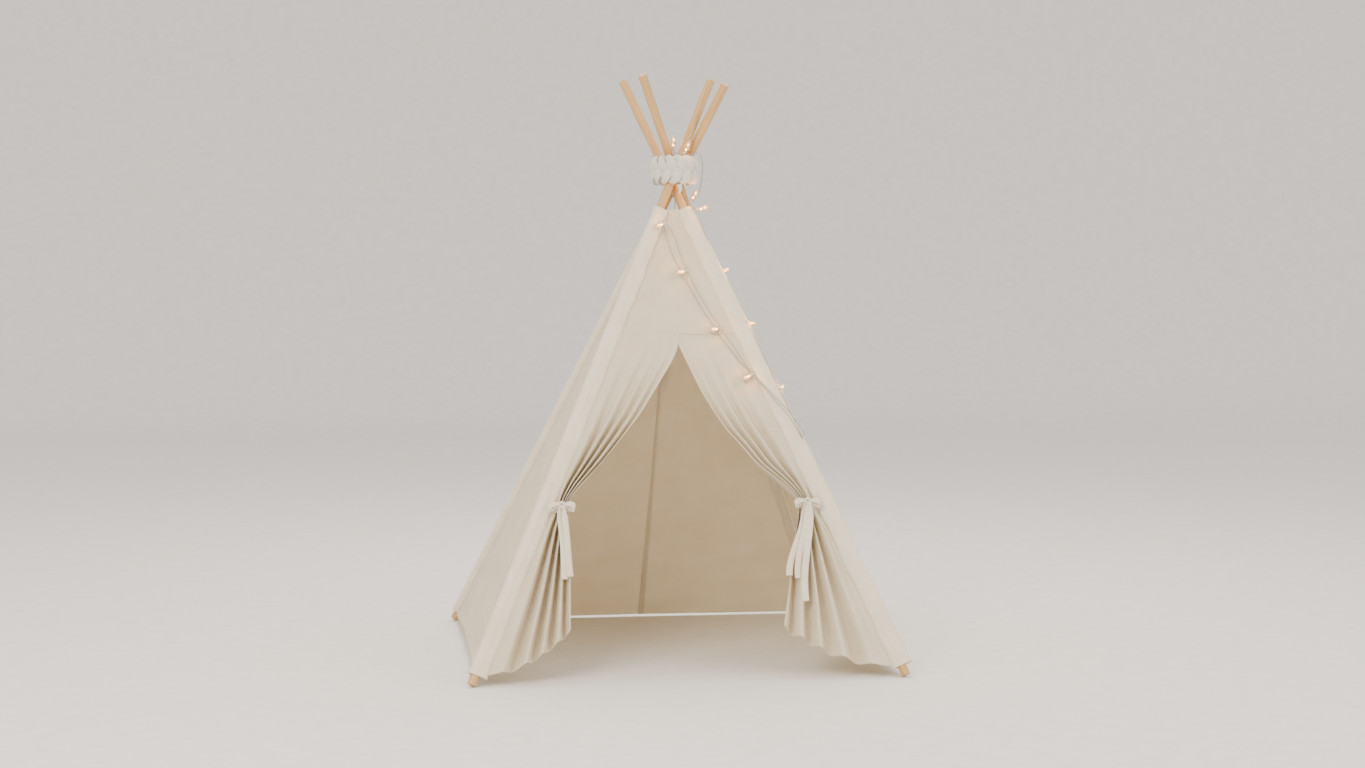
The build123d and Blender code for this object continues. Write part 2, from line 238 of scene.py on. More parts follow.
def mesh_object(name: str, points: np.ndarray, faces: np.ndarray, uv: np.ndarray) -> bpy.types.Object:
    """Makes an object from numpy arrays, smooth shaded, with its own map in metres.

    Args:
        name: the object's name.
        points: N by 3.
        faces: M by 4 point numbers.
        uv: M by 4 by 2, the map at each quad's corners.

    Returns:
        The new object, at the origin.
    """
    mesh = bpy.data.meshes.new(name)
    mesh.vertices.add(len(points))
    mesh.vertices.foreach_set("co", points.astype(np.float32).ravel())
    mesh.loops.add(faces.size)
    mesh.loops.foreach_set("vertex_index", faces.astype(np.int32).ravel())
    mesh.polygons.add(len(faces))
    mesh.polygons.foreach_set("loop_start", np.arange(0, faces.size, 4, dtype=np.int32))
    mesh.polygons.foreach_set("loop_total", np.full(len(faces), 4, np.int32))
    mesh.update(calc_edges=True)
    layer = mesh.uv_layers.new(name="cloth_map")
    layer.data.foreach_set("uv", uv.astype(np.float32).ravel())
    mesh.polygons.foreach_set("use_smooth", np.ones(len(faces), bool))
    mesh.validate()
    thing = bpy.data.objects.new(name, mesh)
    bpy.context.scene.collection.objects.link(thing)
    return thing


def surface(
    name: str, points: np.ndarray, wrap_cols: bool = False, wrap_rows: bool = False, caps: bool = False,
    outwards: bool = True,
) -> bpy.types.Object:
    """A grid surface.

    Args:
        name: the object's name.
        points: rows by columns by 3.
        wrap_cols: whether each row closes on itself.
        wrap_rows: whether the last row joins the first.
        caps: closes the first and last row, each row being an outline folded in two.
        outwards: turns the quads so that they face away from the middle.

    Returns:
        The new object.
    """
    rows, cols = points.shape[:2]
    faces = grid_faces(rows, cols, wrap_cols, wrap_rows)
    u = steps_along(points, 1, wrap_cols)
    v = steps_along(points, 0, wrap_rows)
    row, col = faces // cols, faces % cols
    if wrap_cols:
        col = np.where((col == 0) & (col[:, [0]] == cols - 1), cols, col)
    if wrap_rows:
        row = np.where((row == 0) & (row[:, [0]] == rows - 1), rows, row)
    uv = np.stack([u[col], v[row]], 2)
    if caps:
        half = cols // 2
        j = np.arange(half - 1)
        first = np.stack([j + 1, j, cols - 1 - j, cols - 2 - j], 1)
        last = np.stack([j, j + 1, cols - 2 - j, cols - 1 - j], 1) + (rows - 1) * cols
        extra = np.concatenate([first, last])
        uv = np.concatenate([uv, np.stack([u[extra % cols], v[extra // cols]], 2)])
        faces = np.concatenate([faces, extra])
    flat = points.reshape(-1, 3)
    if outwards and signed_volume(flat, faces) < 0:
        faces, uv = faces[:, ::-1], uv[:, ::-1]
    return mesh_object(name, flat, faces, uv)


def cloth(name: str, points: np.ndarray, thickness: float) -> bpy.types.Object:
    """A thin closed sheet: the grid's points pushed half the thickness to each side of the surface.

    Args:
        name: the object's name.
        points: rows by columns by 3, the sheet's middle surface.
        thickness: how thick the cloth is.

    Returns:
        The new object.
    """
    normal = unit(np.cross(np.gradient(points, axis=0), np.gradient(points, axis=1)))
    front, back = points + normal * thickness / 2, points - normal * thickness / 2
    return surface(name, np.concatenate([front, back[:, ::-1]], 1), wrap_cols=True, caps=True)


def frames_along(path: np.ndarray, up: np.ndarray, closed: bool) -> tuple[np.ndarray, np.ndarray]:
    """Two directions square to a path at each of its points.

    Args:
        path: N by 3.
        up: a direction, or one for each point, that the second result stays close to.
        closed: whether the path ends where it starts.

    Returns:
        The sideways directions and the upward directions, N by 3 each.
    """
    tangent = np.roll(path, -1, 0) - np.roll(path, 1, 0) if closed else np.gradient(path, axis=0)
    tangent = unit(tangent)
    side = unit(np.cross(tangent, np.broadcast_to(up, path.shape)))
    return side, np.cross(side, tangent)


def tube(
    name: str, path: np.ndarray, up: np.ndarray, half_sizes: tuple[np.ndarray, np.ndarray], around: int,
    closed: bool = False, ridges: Callable[[np.ndarray, np.ndarray], np.ndarray] | None = None,
) -> bpy.types.Object:
    """A solid with an oval section along a path.

    Args:
        name: the object's name.
        path: N by 3.
        up: direction that the section's second axis follows.
        half_sizes: the section's half width and half height at each point of the path.
        around: points round the section.
        closed: whether the path ends where it starts.
        ridges: gives extra radius from the angle round the section and the distance along the path.

    Returns:
        The new object.
    """
    side, lift = frames_along(path, up, closed)
    angle = np.linspace(0, 2 * math.pi, around, endpoint=False)[None, :, None]
    width, height = (np.asarray(h, float).reshape(-1, 1, 1) for h in half_sizes)
    offset = side[:, None] * (width * np.cos(angle)) + lift[:, None] * (height * np.sin(angle))
    if ridges is not None:
        step = np.linalg.norm(np.diff(path, axis=0), axis=1)
        distance = np.concatenate([[0], np.cumsum(step)])[:, None]
        offset += unit(offset) * ridges(angle[:, :, 0], distance)[:, :, None]
    return surface(name, path[:, None] + offset, wrap_cols=True, wrap_rows=closed, caps=not closed)


def turned(
    name: str, base: np.ndarray, way: np.ndarray, profile: Sequence[tuple[float, float]], around: int = 32
) -> bpy.types.Object:
    """A turned solid: a profile spun round a line.

    Args:
        name: the object's name.
        base: where the line starts.
        way: the line's direction.
        profile: radius and distance along the line, in millimetres, from one end to the other.
        around: points round the line.

    Returns:
        The new object.
    """
    way = unit(np.asarray(way, float))
    side = unit(np.cross(way, [0.3, 0.9, 0.2]))
    other = np.cross(way, side)
    table = np.array(profile) * MM
    angle = np.linspace(0, 2 * math.pi, around, endpoint=False)[None, :, None]
    ring = np.cos(angle) * side + np.sin(angle) * other
    radius, distance = np.maximum(table[:, 0, None, None], 1e-5), table[:, 1, None, None]
    points = np.asarray(base) + distance * way + radius * ring
    return surface(name, points, wrap_cols=True, caps=True)


# ------------------------------------------------------------------ materials
def linear(code: str) -> tuple[float, float, float, float]:
    """Turns a screen colour into the renderer's linear values.

    Args:
        code: six hex digits after a hash sign.

    Returns:
        Red, green, blue and an alpha of 1.
    """
    parts = (int(code[i : i + 2], 16) / 255 for i in (1, 3, 5))
    red, green, blue = (p / 12.92 if p <= 0.04045 else ((p + 0.055) / 1.055) ** 2.4 for p in parts)
    return red, green, blue, 1.0


@dataclass(frozen=True)
class Finish:
    """What a material looks like before its own pattern is added."""

    name: str
    colour: str
    dark: str
    roughness: float


@dataclass(frozen=True)
class ClothFinish(Finish):
    """Woven cotton. The pitch is from one thread to the next, and glow the share of light let through."""

    pitch: float = 0.7 * MM
    glow: float = 0.18
    bump: float = 0.35


@dataclass(frozen=True)
class WoodFinish(Finish):
    """Straight-grained softwood. The pitch is the distance between grain lines."""

    pitch: float = 2.5 * MM


@dataclass(frozen=True)
class RopeFinish(Finish):
    """Cotton rope. The pitch is from one yarn to the next."""

    pitch: float = 3.2 * MM


@dataclass(frozen=True)
class PlasticFinish(Finish):
    """Moulded plastic; clear plastic lets light through, and a lamp gives its own."""

    clear: float = 0.0
    light: float = 0.0
    grain: float = 0.4 * MM


CANVAS = ClothFinish("natural cotton canvas", "#F2E8D3", "#EADDC3", 0.9, glow=0.34)
# Sleeve canvas: doubled, so it lets less light through, and its colours are a little darker than the wall
# canvas as painted shade on the sleeves.
SHADED_SLEEVE_CANVAS = ClothFinish("natural cotton canvas, doubled", "#EFE4CE", "#E6D8BD", 0.9, glow=0.08)
RIBBON = ClothFinish("cotton twill tape", "#EFE5D0", "#E4D6BC", 0.85, pitch=0.5 * MM, glow=0.1)
# The rope's dark colour is painted shade for the grooves between yarns, mixed with random tone.
ROPE = RopeFinish("plaited cotton rope", "#DAD5CB", "#B4AC9E", 0.95)
POLE_WOOD = WoodFinish("sanded pine", "#CFA871", "#B2874F", 0.5)
TUBE_WOOD = WoodFinish("sanded pine joint tube", "#BE9970", "#9C744C", 0.5)
BOX_PLASTIC = PlasticFinish("white ABS plastic", "#E4E1DA", "#DAD6CD", 0.42)
SWITCH_PLASTIC = PlasticFinish("black nylon", "#2A2A2A", "#202020", 0.5)
CELL_JACKET = PlasticFinish("cell shrink jacket", "#39473D", "#2B362F", 0.3)
WIRE_PLASTIC = PlasticFinish("clear PVC wire", "#BEBAB0", "#8F8A80", 0.3, clear=0.25)
SOCKET_PLASTIC = PlasticFinish("translucent polypropylene", "#D9D4C8", "#C9C3B4", 0.4, clear=0.2)
COVER_PLASTIC = PlasticFinish("clear polystyrene", "#FBF8F1", "#F1EDE2", 0.08, clear=0.92)
LED_RESIN = PlasticFinish("warm white diode", "#FFB860", "#FF9E3C", 0.3, light=22.0)
FLOOR = PlasticFinish("matt studio floor", "#E9E5DF", "#E4E0D9", 0.8, grain=60 * MM)


class Shader:
    """Builds one node material."""

    def __init__(self, finish: Finish) -> None:
        """Starts with a plain principled surface.

        Args:
            finish: colour and roughness.
        """
        self.material = bpy.data.materials.new(finish.name)
        self.material.use_nodes = True
        self.tree = self.material.node_tree
        self.tree.nodes.clear()
        self.finish = finish
        self.output = self.add("ShaderNodeOutputMaterial")
        self.surface = self.add("ShaderNodeBsdfPrincipled", {"Roughness": finish.roughness})
        self.join(self.surface, "BSDF", self.output, "Surface")
        self.place = self.add("ShaderNodeTexCoord")

    def add(self, kind: str, inputs: dict | None = None, **settings: object) -> bpy.types.Node:
        """Adds a node.

        Args:
            kind: the node's type.
            inputs: values for its inputs, by name or number.
            settings: values for its own properties.

        Returns:
            The node.
        """
        node = self.tree.nodes.new(kind)
        for key, value in settings.items():
            setattr(node, key, value)
        for key, value in (inputs or {}).items():
            node.inputs[key].default_value = value
        return node

    def join(self, a: bpy.types.Node, output: str | int, b: bpy.types.Node, entry: str | int) -> None:
        """Links one node's output to another's input.

        Args:
            a: the node that gives.
            output: its output's name or number.
            b: the node that takes.
            entry: its input's name or number.
        """
        self.tree.links.new(a.outputs[output], b.inputs[entry])

    def noise(
        self, size: float, stretch: tuple[float, float, float], source: str,
        turn: Iterable[float] = (0, 0, 0), detail: float = 3.0,
    ) -> bpy.types.Node:
        """A noise pattern of a real size.

        Args:
            size: size of its blotches, in metres.
            stretch: how many times longer they are along each axis.
            source: which coordinates it uses, Object or UV.
            turn: turns the coordinates about X, Y and Z before they are stretched.
            detail: how many finer layers it has.

        Returns:
            The noise node.
        """
        rotate = self.add("ShaderNodeVectorRotate", {"Rotation": tuple(turn)}, rotation_type="EULER_XYZ")
        scale = self.add("ShaderNodeVectorMath", operation="MULTIPLY")
        scale.inputs[1].default_value = tuple(1 / (size * s) for s in stretch)
        noise = self.add("ShaderNodeTexNoise", {"Scale": 1.0, "Detail": detail, "Roughness": 0.55})
        self.join(self.place, source, rotate, "Vector")
        self.join(rotate, 0, scale, 0)
        self.join(scale, 0, noise, "Vector")
        return noise

    def bands(self, pitch: float, direction: str, slant: float = 0.0) -> bpy.types.Node:
        """Even ridges across the piece's own map.

        Args:
            pitch: distance from one ridge to the next.
            direction: X or Y, the map's axis that the ridges repeat along.
            slant: how much the other axis shifts them.

        Returns:
            The wave node.
        """
        skew = self.add("ShaderNodeMapping")
        skew.inputs["Rotation"].default_value = (0, 0, math.atan(slant))
        wave = self.add("ShaderNodeTexWave", {"Scale": math.pi / (10 * pitch), "Distortion": 0.0},
                        bands_direction=direction)
        self.join(self.place, "UV", skew, "Vector")
        self.join(skew, 0, wave, "Vector")
        return wave

    def colours(self, source: bpy.types.Node, output: str | int, low: float, high: float) -> bpy.types.Node:
        """Colours the surface between the finish's dark and main colour.

        Args:
            source: node whose value picks the colour.
            output: its output.
            low: value that gives the dark colour.
            high: value that gives the main colour.

        Returns:
            The ramp node.
        """
        ramp = self.add("ShaderNodeValToRGB")
        ramp.color_ramp.elements[0].position = low
        ramp.color_ramp.elements[0].color = linear(self.finish.dark)
        ramp.color_ramp.elements[1].position = high
        ramp.color_ramp.elements[1].color = linear(self.finish.colour)
        self.join(source, output, ramp, "Fac")
        self.join(ramp, "Color", self.surface, "Base Color")
        return ramp

    def bump(self, source: bpy.types.Node, output: str | int, strength: float, depth: float) -> None:
        """Raises the surface by a value.

        Args:
            source: node that gives the height.
            output: its output.
            strength: share of the effect.
            depth: height of the ridges, in metres.
        """
        bump = self.add("ShaderNodeBump", {"Strength": strength, "Distance": depth})
        self.join(source, output, bump, "Height")
        self.join(bump, "Normal", self.surface, "Normal")

    def sum(self, a: bpy.types.Node, b: bpy.types.Node) -> bpy.types.Node:
        """Adds two patterns.

        Args:
            a: the first pattern.
            b: the second pattern.

        Returns:
            The math node.
        """
        node = self.add("ShaderNodeMath", operation="ADD")
        self.join(a, "Fac", node, 0)
        self.join(b, "Fac", node, 1)
        return node


def woven(finish: ClothFinish) -> bpy.types.Material:
    """Cotton: blotchy natural colour, warp and weft ridges, and some light let through.

    Args:
        finish: the cloth's finish.

    Returns:
        The material.
    """
    shader = Shader(finish)
    mottle = shader.noise(0.09, (1, 1, 1), "UV", detail=8.0)
    ramp = shader.colours(mottle, "Fac", 0.3, 0.72)
    warp, weft = shader.bands(finish.pitch, "X"), shader.bands(finish.pitch, "Y")
    shader.bump(shader.sum(warp, weft), 0, finish.bump, finish.pitch * 0.3)
    through = shader.add("ShaderNodeBsdfTranslucent")
    shader.join(ramp, "Color", through, "Color")
    mix = shader.add("ShaderNodeMixShader", {"Fac": finish.glow})
    shader.join(shader.surface, "BSDF", mix, 1)
    shader.join(through, "BSDF", mix, 2)
    shader.join(mix, 0, shader.output, "Surface")
    return shader.material


def wooden(finish: WoodFinish, corner: Corner) -> bpy.types.Material:
    """Softwood with its grain along a pole: noise stretched forty times along the pole's line.

    Args:
        finish: the wood's finish.
        corner: the pole whose line the grain follows.

    Returns:
        The material.
    """
    shader = Shader(finish)
    shader.material.name = f"{finish.name}, {corner.value[0].replace('_', ' ')}"
    along = Vector(corner.line()[1])
    turn = along.rotation_difference(Vector((0, 0, 1))).to_euler()
    grain = shader.noise(finish.pitch, (1, 1, 40), "Object", turn, detail=4.0)
    shader.colours(grain, "Fac", 0.34, 0.66)
    shader.bump(grain, "Fac", 0.15, 0.1 * MM)
    return shader.material


def roped(finish: RopeFinish) -> bpy.types.Material:
    """Rope yarns: slanted ridges along the strand, with painted shade in the grooves, and fluff on top.

    Args:
        finish: the rope's finish.

    Returns:
        The material.
    """
    shader = Shader(finish)
    yarns = shader.bands(finish.pitch, "Y", slant=0.9)
    fluff = shader.noise(0.8 * MM, (1, 1, 1), "UV", detail=2.0)
    both = shader.sum(yarns, fluff)
    half = shader.add("ShaderNodeMath", {1: 0.5}, operation="MULTIPLY")
    shader.join(both, 0, half, 0)
    # Painted shade: the grooves of the yarn ridges take the dark colour, and the fluff adds random tone.
    shader.colours(half, 0, 0.12, 0.5)
    shader.bump(both, 0, 0.6, 0.5 * MM)
    return shader.material


def moulded(finish: PlasticFinish) -> bpy.types.Material:
    """Plastic with a faint grain; clear kinds let light through and lamps give their own.

    Args:
        finish: the plastic's finish.

    Returns:
        The material.
    """
    shader = Shader(finish)
    grain = shader.noise(finish.grain, (1, 1, 1), "Object")
    ramp = shader.colours(grain, "Fac", 0.35, 0.65)
    shader.bump(grain, "Fac", 0.05, finish.grain * 0.1)
    shader.surface.inputs["Transmission Weight"].default_value = finish.clear
    shader.surface.inputs["IOR"].default_value = 1.45
    if finish.light:
        shader.join(ramp, "Color", shader.surface, "Emission Color")
        shader.surface.inputs["Emission Strength"].default_value = finish.light
    return shader.material


class Materials:
    """Makes each material once."""

    def __init__(self) -> None:
        """Starts with none made."""
        self.made: dict[str, bpy.types.Material] = {}

    def of(self, finish: Finish, corner: Corner | None = None) -> bpy.types.Material:
        """The material of a finish.

        Args:
            finish: the finish.
            corner: for wood, the pole whose line the grain follows.

        Returns:
            The material, new or made before.
        """
        key = finish.name + (corner.name if corner else "")
        if key not in self.made:
            if isinstance(finish, ClothFinish):
                self.made[key] = woven(finish)
            elif isinstance(finish, WoodFinish) and corner is not None:
                self.made[key] = wooden(finish, corner)
            elif isinstance(finish, RopeFinish):
                self.made[key] = roped(finish)
            else:
                self.made[key] = moulded(finish)
        return self.made[key]

    def put(self, thing: bpy.types.Object, finish: Finish, corner: Corner | None = None) -> bpy.types.Object:
        """Gives an object one material.

        Args:
            thing: the object.
            finish: its finish.
            corner: for wood, the pole whose line the grain follows.

        Returns:
            The object.
        """
        thing.data.materials.clear()
        thing.data.materials.append(self.of(finish, corner))
        return thing


# ------------------------------------------------------------------ how pieces move
@dataclass(frozen=True)
class Ride:
    """The body a piece moves with, and settings for how it is drawn in as the tent folds.

    By these settings the fold brings every point towards the anchor, along the axis, to keep times its
    distance; nothing in this script carries out the fold.
    """

    body: str
    axis: tuple[float, float, float] | None = None
    anchor: tuple[float, float, float] = (0.015, 0.0, 0.0)
    keep: float = 0.195
    joint: str = "front_left_fold"

    def carry(self, thing: bpy.types.Object) -> bpy.types.Object:
        """Makes the object ride, and gives it its own copy of its mesh if an axis is given.

        Args:
            thing: the object.

        Returns:
            The object.
        """
        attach(thing, self.body)
        if self.axis is not None:
            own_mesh(thing)
        return thing

    def for_small(self, middle: Sequence[float], keep: float) -> "Ride":
        """The same ride for a small stiff piece, whose middle goes where the cloth there goes.

        Args:
            middle: the piece's middle.
            keep: how much of its own width the piece keeps.

        Returns:
            A ride with its anchor moved, so that the middle ends at the same place.
        """
        if self.axis is None:
            return self
        ends = [a + (m - a) * self.keep for a, m in zip(self.anchor, middle)]
        anchor = tuple((e - keep * m) / (1 - keep) for e, m in zip(ends, middle))
        return Ride(self.body, self.axis, anchor, keep, self.joint)


ALONG_X, ALONG_Y = (1.0, 0.0, 0.0), (0.0, 1.0, 0.0)
FRONT_RIDE = Ride("front_wall", ALONG_X, (0.015, 0, 0))
BACK_RIDE = Ride("back_wall", ALONG_X, (0.044, 0, 0))
LEFT_RIDE = Ride("left_wall", ALONG_Y, (0, -0.013, 0))
RIGHT_RIDE = Ride("right_wall", ALONG_Y, (0, -0.008, 0))
CROWN_RIDE = Ride("lashing")


@dataclass(frozen=True)
class Wall:
    """One sloping side of the tent, straight between two poles."""

    start: Corner
    end: Corner

    def point(self, share: np.ndarray, height: np.ndarray) -> np.ndarray:
        """Points on the wall's middle surface: a straight line from one pole to the other at each height.

        Args:
            share: 0 at the first pole's centre line, 1 at the second's.
            height: height above the floor.

        Returns:
            Points, with one more dimension than share.
        """
        a, b = self.start.at(height), self.end.at(height)
        return a + (b - a) * np.asarray(share)[..., None]

    def width(self, height: np.ndarray) -> np.ndarray:
        """Distance between the poles' centre lines at a height.

        Args:
            height: height above the floor.

        Returns:
            The distance.
        """
        return np.linalg.norm(self.end.at(height) - self.start.at(height), axis=-1)

    def outwards(self) -> np.ndarray:
        """The direction square to the wall, out of the tent.

        Returns:
            A unit vector.
        """
        low, high = self.point(np.array([0.5, 0.5]), np.array([0.1, 1.2]))
        across = self.end.at(0.1) - self.start.at(0.1)
        normal = unit(np.cross(across, high - low))
        return normal if normal @ np.array([low[0], low[1], 0]) > 0 else -normal

    def front_y(self, x: float, height: float) -> float:
        """Y of the surface at an X and a height.

        Args:
            x: position along X.
            height: height above the floor.

        Returns:
            The Y.
        """
        a, b = self.start.at(height), self.end.at(height)
        return float(a[1] + (b[1] - a[1]) * (x - a[0]) / (b[0] - a[0]))


FRONT = Wall(Corner.FRONT_LEFT, Corner.FRONT_RIGHT)
BACK = Wall(Corner.BACK_LEFT, Corner.BACK_RIGHT)
LEFT = Wall(Corner.BACK_LEFT, Corner.FRONT_LEFT)
RIGHT = Wall(Corner.FRONT_RIGHT, Corner.BACK_RIGHT)


# ------------------------------------------------------------------ sub-assemblies
@dataclass
class Part:
    """A sub-assembly. Each builds its own pieces with the shared materials."""

    materials: Materials

    def build(self) -> list[bpy.types.Object]:
        """Builds the pieces.

        Returns:
            The objects made or given a finish.
        """
        raise NotImplementedError


@dataclass
class Poles(Part):
    """The turned poles and their joint tubes, which are shown as they were modelled."""

    def build(self) -> list[bpy.types.Object]:
        """Gives each pole piece its wood.

        Returns:
            The pole pieces.
        """
        made = []
        for corner in Corner:
            name = corner.value[0]
            for half in ("lower", "upper"):
                made.append(self.materials.put(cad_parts[f"pole_{name}_{half}"], POLE_WOOD, corner))
            made.append(self.materials.put(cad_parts[f"pole_{name}_joint_tube"], TUBE_WOOD, corner))
        return made


@dataclass
class Sleeve(Part):
    """The cloth channel round one pole: a round part over the pole, drawn out to a sewn edge."""

    corner: Corner
    wall: Wall
    towards: float  # +1 if the wall runs from this pole towards the other, -1 if it ends here
    inner_reach: float = 0.029
    outer_reach: float = 0.020
    loose: float = 0.0145
    bottom: float = 0.030
    top: float = 1.302
    rows: int = 260
    around: int = 56
    thickness: float = 0.0009

    def build(self) -> list[bpy.types.Object]:
        """Builds the sleeve: at each height a closed line round the pole, with a wall inside it.

        The distance from the pole's centre is the loose radius, plus the reach times a narrow peak in
        the sewn edge's direction, plus a broader peak on the other side, plus small creases.

        Returns:
            The sleeve.
        """
        _, along = self.corner.line()
        height = np.linspace(self.bottom, self.top, self.rows)
        centre = self.corner.at(height)
        across = unit(self.wall.end.at(0.7) - self.wall.start.at(0.7)) * self.towards
        across = unit(across - along * (across @ along))
        out = np.cross(along, across)
        out = out if out @ self.wall.outwards() > 0 else -out
        angle = np.linspace(-math.pi, math.pi, self.around, endpoint=False)
        v, turn = np.meshgrid(np.linspace(0, 1, self.rows), angle, indexing="ij")
        drawn = np.clip(np.cos(turn), 0, 1) ** 7
        puffed = np.clip(-np.cos(turn), 0, 1) ** 4
        taper = 1 - 0.35 * v**4
        radius = self.loose + (self.inner_reach - self.loose) * drawn * taper
        radius += (self.outer_reach - self.loose) * puffed * taper
        seed = 100 + list(Corner).index(self.corner) * 7
        share = (turn + math.pi) / (2 * math.pi)
        crease = lattice_noise(share, v, (4, 40), seed) + 0.6 * lattice_noise(share, v, (6, 90), seed + 1)
        hide = 1 - np.abs(2 * share - 1) ** 8
        radius += crease * hide * 0.0013 * (0.5 + drawn + puffed)
        radius = np.maximum(radius, 0.0136)
        points = centre[:, None] + radius[..., None] * (
            np.cos(turn)[..., None] * across + np.sin(turn)[..., None] * out
        )
        hem = 0.0006 * (np.abs(np.linspace(0, 1, self.rows) - 0.5) > 0.489)[:, None, None]
        points += unit(points - centre[:, None]) * hem
        inner = points - unit(points - centre[:, None]) * self.thickness
        name = self.corner.value[0]
        shell = np.concatenate([points, inner[::-1]])
        thing = surface(f"sleeve_{name}_cloth", shell, wrap_cols=True, wrap_rows=True)
        self.materials.put(thing, SHADED_SLEEVE_CANVAS)
        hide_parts(f"sleeve_{name}")
        Ride(f"{name}_pole").carry(thing)
        return [thing]


@dataclass
class Panel(Part):
    """One flat panel of the cover, sewn to the sleeves at its sides, with a turned hem."""

    name: str
    wall: Wall
    ride: Ride
    node: str
    bottom: float = 0.018
    top: float = 1.300
    share: tuple[float, float] = (0.0, 1.0)
    edges: tuple[float, float] = (0.018, 0.018)
    slack: float = 0.010
    crease: float = 0.0035
    arch: float = 0.006
    seed: int = 1
    cells: tuple[int, int] = (190, 170)
    thickness: float = 0.0010
    hem: float = 0.020
    lap: float = 0.0

    def build(self) -> list[bpy.types.Object]:
        """Builds the panel: the straight surface between two poles, plus slack, creases and a hem.

        The slack is a half sine across and a half sine up, pushed inwards. The creases are noise that
        fades to nothing at the sewn edges. The hem stands out by one cloth thickness.

        Returns:
            The panel.
        """
        columns, rows = (np.linspace(0, 1, count) for count in self.cells)
        across, up = np.meshgrid(columns, rows, indexing="xy")
        whole = self.share[0] + (self.share[1] - self.share[0]) * across
        lowest = self.bottom + self.arch * (1 - (2 * whole - 1) ** 2)
        height = lowest + (self.top - lowest) * up
        width = self.wall.width(height)
        low, high = self.edges[0] / width, 1 - self.edges[1] / width
        points = self.wall.point(low + (high - low) * whole, height)
        out = self.wall.outwards()
        fade = np.sin(math.pi * whole) ** 0.6
        offset = -self.slack * np.sin(math.pi * whole) * np.sin(math.pi * np.clip(up, 0, 1)) ** 0.7
        offset += self.crease * fade * cloth_wrinkles(whole, up, self.seed)
        offset += self.lap * smooth((whole - 0.47) / 0.03)
        slant = np.linalg.norm(self.wall.point(0.5, self.top) - self.wall.point(0.5, self.bottom))
        from_hem = up * slant
        offset += HEM_STEP * (1 - smooth((from_hem - self.hem) / HEM_FADE))
        from_top = (1 - up) * slant
        offset += HEM_STEP * (1 - smooth((from_top - self.hem * 0.7) / HEM_FADE))
        points = points + offset[..., None] * out
        thing = cloth(f"{self.name}_cloth", points, self.thickness)
        self.materials.put(thing, CANVAS)
        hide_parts(self.node)
        self.ride.carry(thing)
        widths = [float(self.wall.width(h)) - sum(self.edges) for h in (self.bottom, self.top)]
        return [thing]


